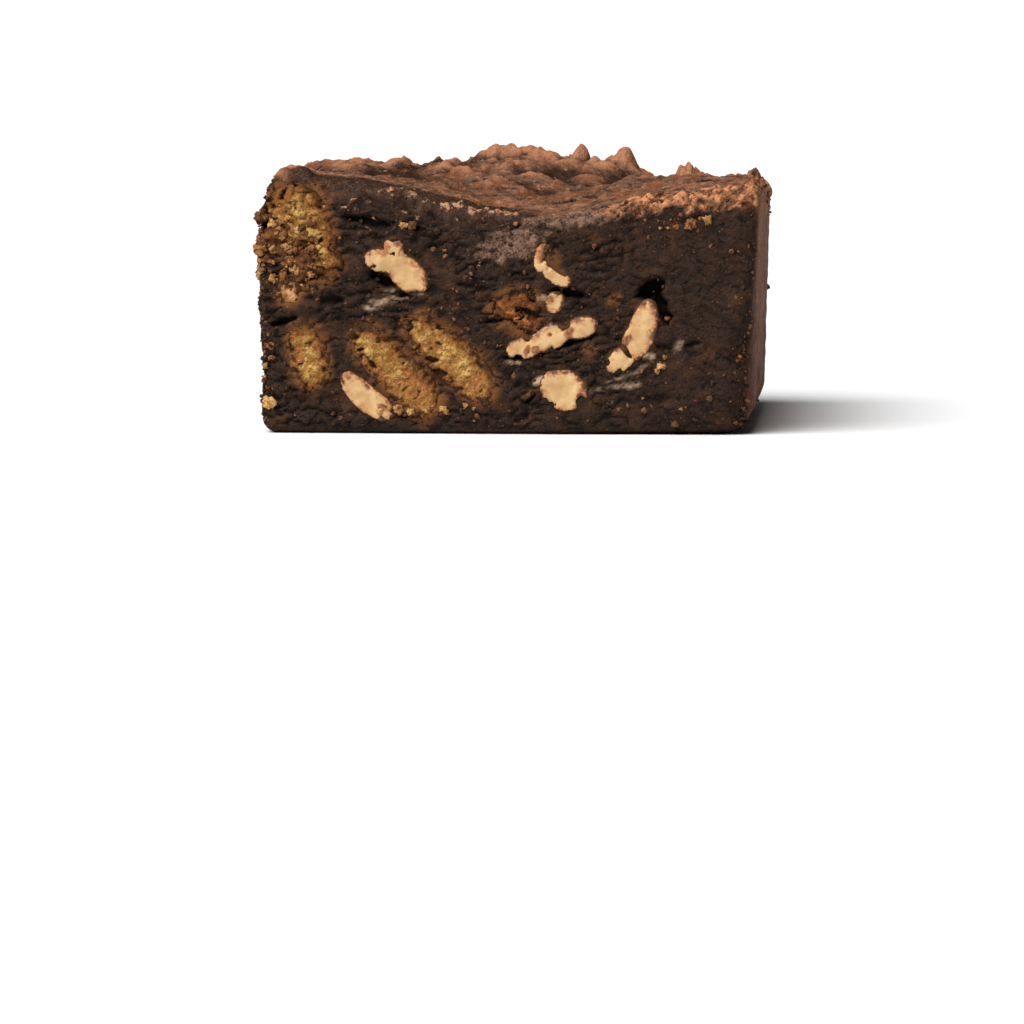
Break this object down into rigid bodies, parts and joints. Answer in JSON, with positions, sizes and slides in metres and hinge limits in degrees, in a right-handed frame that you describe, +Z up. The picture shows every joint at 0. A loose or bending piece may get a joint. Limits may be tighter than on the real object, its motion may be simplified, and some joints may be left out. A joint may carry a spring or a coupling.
{
  "type": "chocolate brownie",
  "caption": "Thick square-cut chocolate brownie with a sunken crackled top, and biscuit and white chocolate chunks showing in its cut sides.",
  "frame": {"origin": "middle of the underside, under the middle of the outline", "axes": "+X to the right along the front cut face, towards the side baked against the tin; +Y from the front cut face to the back one; +Z up"},
  "size_m": [0.0714, 0.0668, 0.0396],
  "materials": {
    "fudge": "torn dark chocolate crumb, with a browner crackled crust on top",
    "biscuit": "porous golden biscuit",
    "dark_biscuit": "crumbly reddish brown biscuit",
    "white_chocolate": "waxy ivory chocolate with small brown specks"
  },
  "bodies": {
    "root": {"biscuit_corner": "biscuit", "biscuit_oval": "biscuit", "biscuit_slant_left": "biscuit", "biscuit_slant_right": "biscuit", "biscuit_dark": "dark_biscuit", "white_bean": "white_chocolate", "white_hook": "white_chocolate", "white_root": "white_chocolate", "white_leaf": "white_chocolate", "white_round": "white_chocolate", "white_slant": "white_chocolate", "white_crumb": "white_chocolate", "biscuit_chip": "biscuit", "biscuit_back_left": "biscuit", "biscuit_back_low": "biscuit", "biscuit_back_middle": "biscuit", "biscuit_back_right": "biscuit", "white_back_left": "white_chocolate", "white_back_middle": "white_chocolate", "white_back_right": "white_chocolate", "white_back_low": "white_chocolate", "biscuit_left_back": "biscuit", "biscuit_left_middle": "biscuit", "biscuit_left_front": "biscuit", "white_left_back": "white_chocolate", "white_left_middle": "white_chocolate", "white_left_front": "white_chocolate", "fudge_block": "fudge"}
  },
  "joints": []
}
